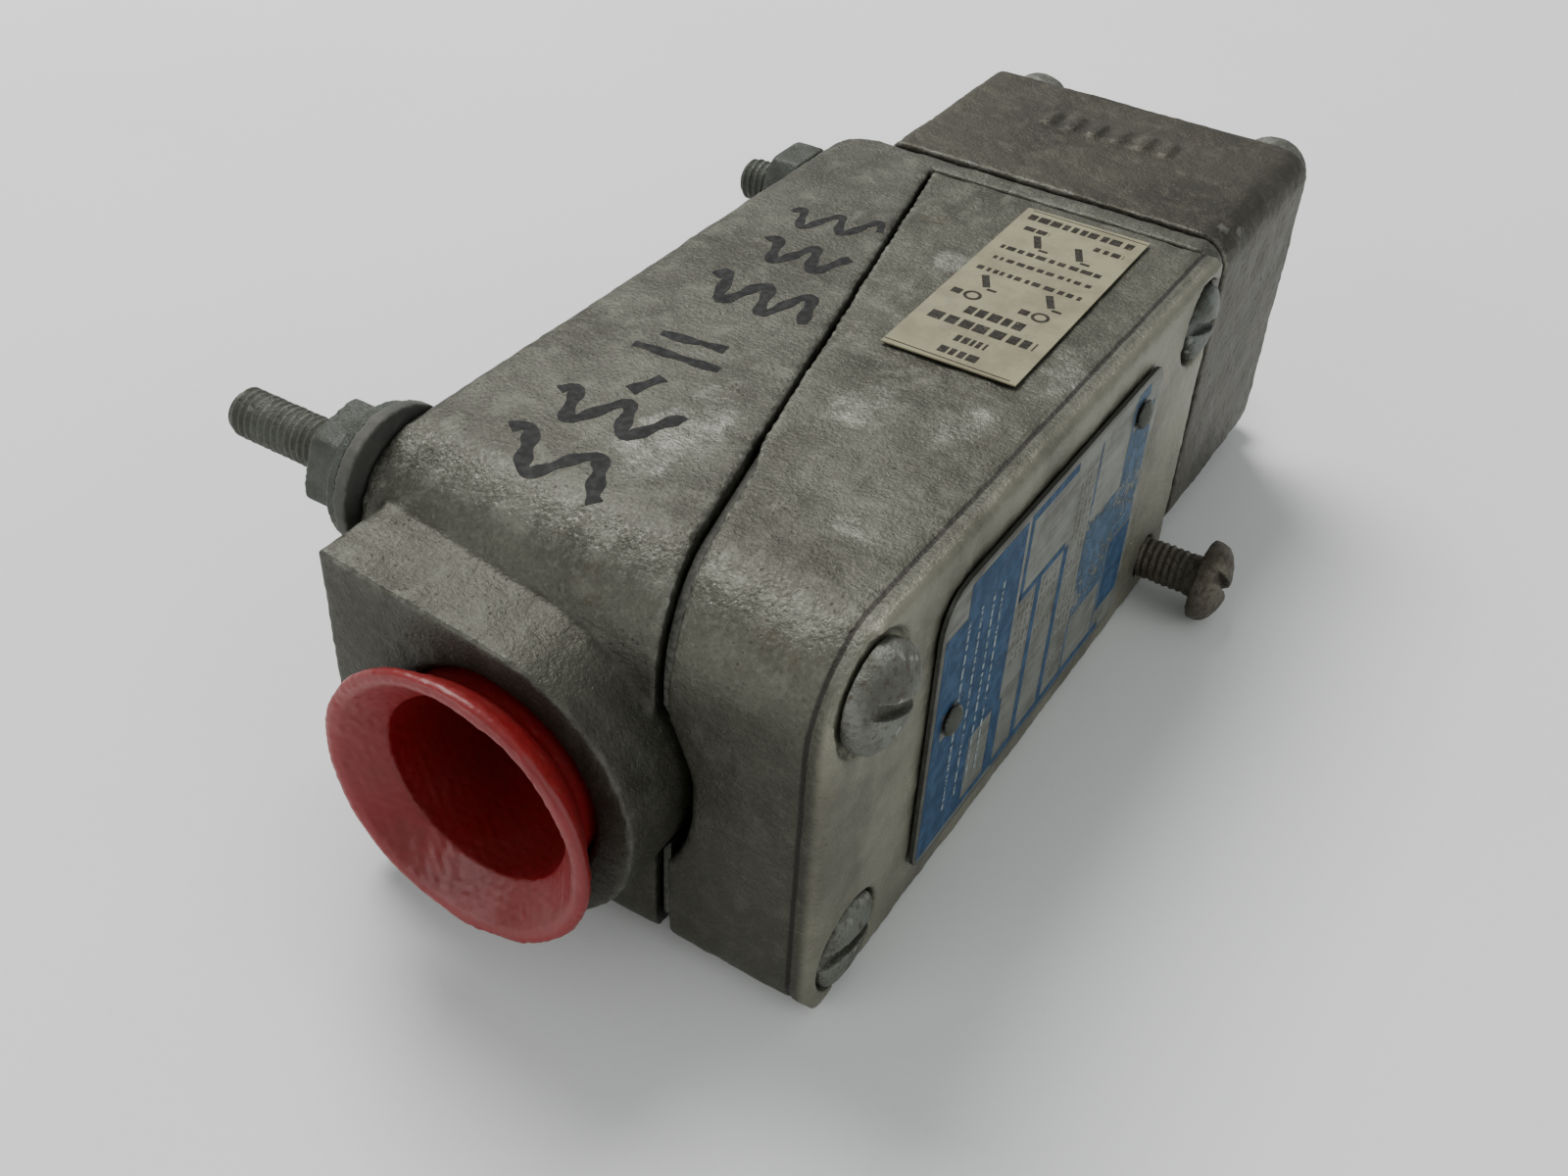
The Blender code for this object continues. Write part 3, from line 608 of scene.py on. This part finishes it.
laid("label_print", label, nodes["circuit_label"], LABEL_INK, "top", 0.02, cell=1.5)

NEAR, FAR, LOW, TOP = -38.0, 7.6, 4.8, 36.3     # the nameplate's edges in y and z


def plate_y(share):
    return NEAR + share * (FAR - NEAR)


def on_plate(u0, u1, v0, v1):
    """A block on the nameplate, from shares along it and down it."""
    middle = TOP - (v0 + v1) / 2 * (TOP - LOW)
    return [(plate_y(u0), middle), (plate_y(u1), middle)], (v1 - v0) * (TOP - LOW)


blue = [on_plate(0.015, 0.2, 0.14, 0.97), on_plate(0.2, 0.33, 0.03, 0.69),
        on_plate(0.3, 0.345, 0.69, 0.97), on_plate(0.1, 0.2, 0.03, 0.14),
        on_plate(0.2, 0.3, 0.945, 0.97), on_plate(0.345, 0.9, 0.95, 0.98),
        on_plate(0.345, 0.56, 0.025, 0.055), on_plate(0.345, 0.56, 0.31, 0.335)]
blue += [on_plate(u, u + 0.022, 0.335, 0.95) for u in (0.43, 0.56)]
blue += [on_plate(0.345, 0.36, 0.055, 0.335), on_plate(0.865, 0.98, 0.59, 0.88)]
faded = [on_plate(0.69, 0.85, 0.36, 0.73), on_plate(0.86, 0.975, 0.12, 0.58),
         on_plate(0.68, 0.69, 0.05, 0.95), on_plate(0.86, 0.93, 0.03, 0.12),
         on_plate(0.85, 0.86, 0.05, 0.95)]
plate = nodes["nameplate"]
laid("blue_enamel", blue, plate, BLUE, "front", 0.02, cell=1.6)
laid("faded_enamel", faded, plate, FADED_BLUE, "front", 0.02, cell=1.6)
script = []
for u in (0.11, 0.16, 0.21, 0.25):
    script += greek(LOW + 4, TOP - 5, plate_y(u), 0.42, rng, swap=True, dash=(0.3, 1.4))
laid("pale_script", script, plate, WHITE, "front", 0.045, cell=1.5)
print_rows = []
for u0, u1, v0, v1 in ((0.35, 0.425, 0.35, 0.57), (0.46, 0.555, 0.35, 0.57), (0.59, 0.67, 0.1, 0.9)):
    y, high, low = plate_y(u0), TOP - v0 * (TOP - LOW), TOP - v1 * (TOP - LOW)
    while y < plate_y(u1):
        print_rows += greek(low, high, y + 0.4, 0.3, rng, swap=True, dash=(0.3, 1.0))
        y += 0.95
laid("plate_print", print_rows, plate, PLATE_INK, "front", 0.02, cell=1.5)

# ---- floor, light and camera ----
REACH = 1500
corners = [(-REACH, -REACH, 0), (REACH, -REACH, 0), (REACH, REACH, 0), (-REACH, REACH, 0)]
floor = add_mesh("floor", corners, [(0, 1, 2, 3)], floor_sheet())


def area_light(name, place, size, power, tone):
    """A round lamp that points at the middle of the part."""
    light = bpy.data.lights.new(name, "AREA")
    light.shape, light.size, light.energy, light.color = "DISK", size, power, tone
    lamp = bpy.data.objects.new(name, light)
    lamp.location = place
    way = Vector((0, 0, 0.02)) - Vector(place)
    lamp.rotation_euler = way.to_track_quat("-Z", "Y").to_euler()
    scene.collection.objects.link(lamp)


area_light("overhead", (-0.42, 0.25, 0.75), 0.5, 9.0, (1.0, 1.0, 0.985))
area_light("fill", (0.8, -0.1, 0.35), 0.9, 2.2, (0.97, 1.0, 0.98))
area_light("near_fill", (-0.35, -0.9, 0.3), 0.8, 4.0, (0.98, 1.0, 0.99))
world = bpy.data.worlds.new("room")
world.use_nodes = True
background = world.node_tree.nodes["Background"].inputs
background["Color"].default_value = (0.95, 1.0, 0.985, 1)
background["Strength"].default_value = 0.47
scene.world = world

lens = bpy.data.cameras.new("camera")
lens.lens, lens.sensor_width, lens.clip_start = 37.9, 36.0, 0.01
camera = bpy.data.objects.new("camera", lens)
right = Vector((0.846164, 0.530939, 0.045947))
down = Vector((0.366520, -0.517196, -0.773416))
ahead = Vector((-0.386873, 0.671277, -0.632232))
turned = Matrix((right, -down, -ahead)).transposed().to_4x4()
camera.matrix_world = Matrix.Translation((0.06216, -0.13059, 0.11830)) @ turned
scene.collection.objects.link(camera)
scene.camera = camera
